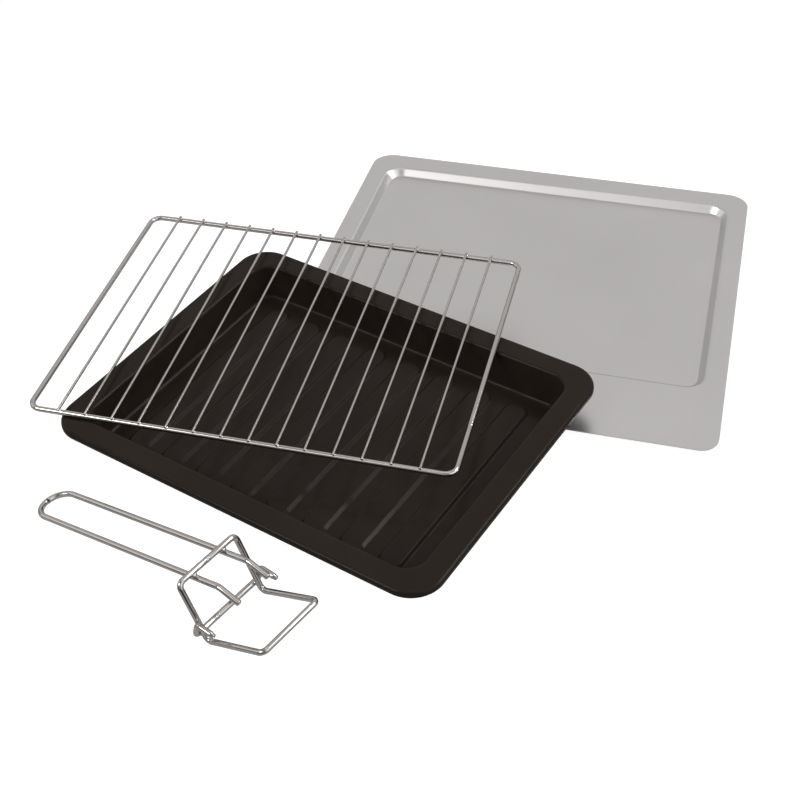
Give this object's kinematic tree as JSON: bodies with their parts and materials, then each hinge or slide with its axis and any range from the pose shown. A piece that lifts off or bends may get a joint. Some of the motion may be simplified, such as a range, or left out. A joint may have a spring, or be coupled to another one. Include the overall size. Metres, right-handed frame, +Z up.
{
  "type": "oven accessory set",
  "caption": "Set of loose oven accessories: a dished crumb tray, a ribbed baking pan, a wire rack that lies across it and a bent-wire handle for lifting them.",
  "frame": {"origin": "on the table, under the middle of the box round the whole group", "axes": "+Z up; +X along the crumb tray's back edge, to the right in the picture; +Y from the crumb tray's front edge to its back edge"},
  "size_m": [0.5822, 0.7306, 0.0534],
  "materials": {
    "tray_metal": "satin rolled sheet",
    "enamel": "glossy black vitreous enamel on steel",
    "rack_chrome": "chromed steel wire",
    "handle_chrome": "chromed steel wire"
  },
  "bodies": {
    "crumb_tray": {"crumb_tray": "tray_metal"},
    "baking_pan": {"baking_pan": "enamel"},
    "rack": {"rack_frame": "rack_chrome", "rack_wire_01": "rack_chrome", "rack_wire_02": "rack_chrome", "rack_wire_03": "rack_chrome", "rack_wire_04": "rack_chrome", "rack_wire_05": "rack_chrome", "rack_wire_06": "rack_chrome", "rack_wire_07": "rack_chrome", "rack_wire_08": "rack_chrome", "rack_wire_09": "rack_chrome", "rack_wire_10": "rack_chrome", "rack_wire_11": "rack_chrome", "rack_wire_12": "rack_chrome", "rack_wire_13": "rack_chrome", "rack_wire_14": "rack_chrome"},
    "tray_handle": {"handle_grip": "handle_chrome", "handle_loop": "handle_chrome", "handle_prong_bar": "handle_chrome"}
  },
  "joints": [
    {"name": "pan_lift", "type": "slide", "parent": "crumb_tray", "child": "baking_pan", "axis": [0, 0, 1], "range_m": [0, 0.25]},
    {"name": "rack_lift", "type": "slide", "parent": "baking_pan", "child": "rack", "axis": [0, 0, 1], "range_m": [0, 0.25]},
    {"name": "handle_lift", "type": "slide", "parent": "crumb_tray", "child": "tray_handle", "axis": [0, 0, 1], "range_m": [0, 0.25]}
  ]
}
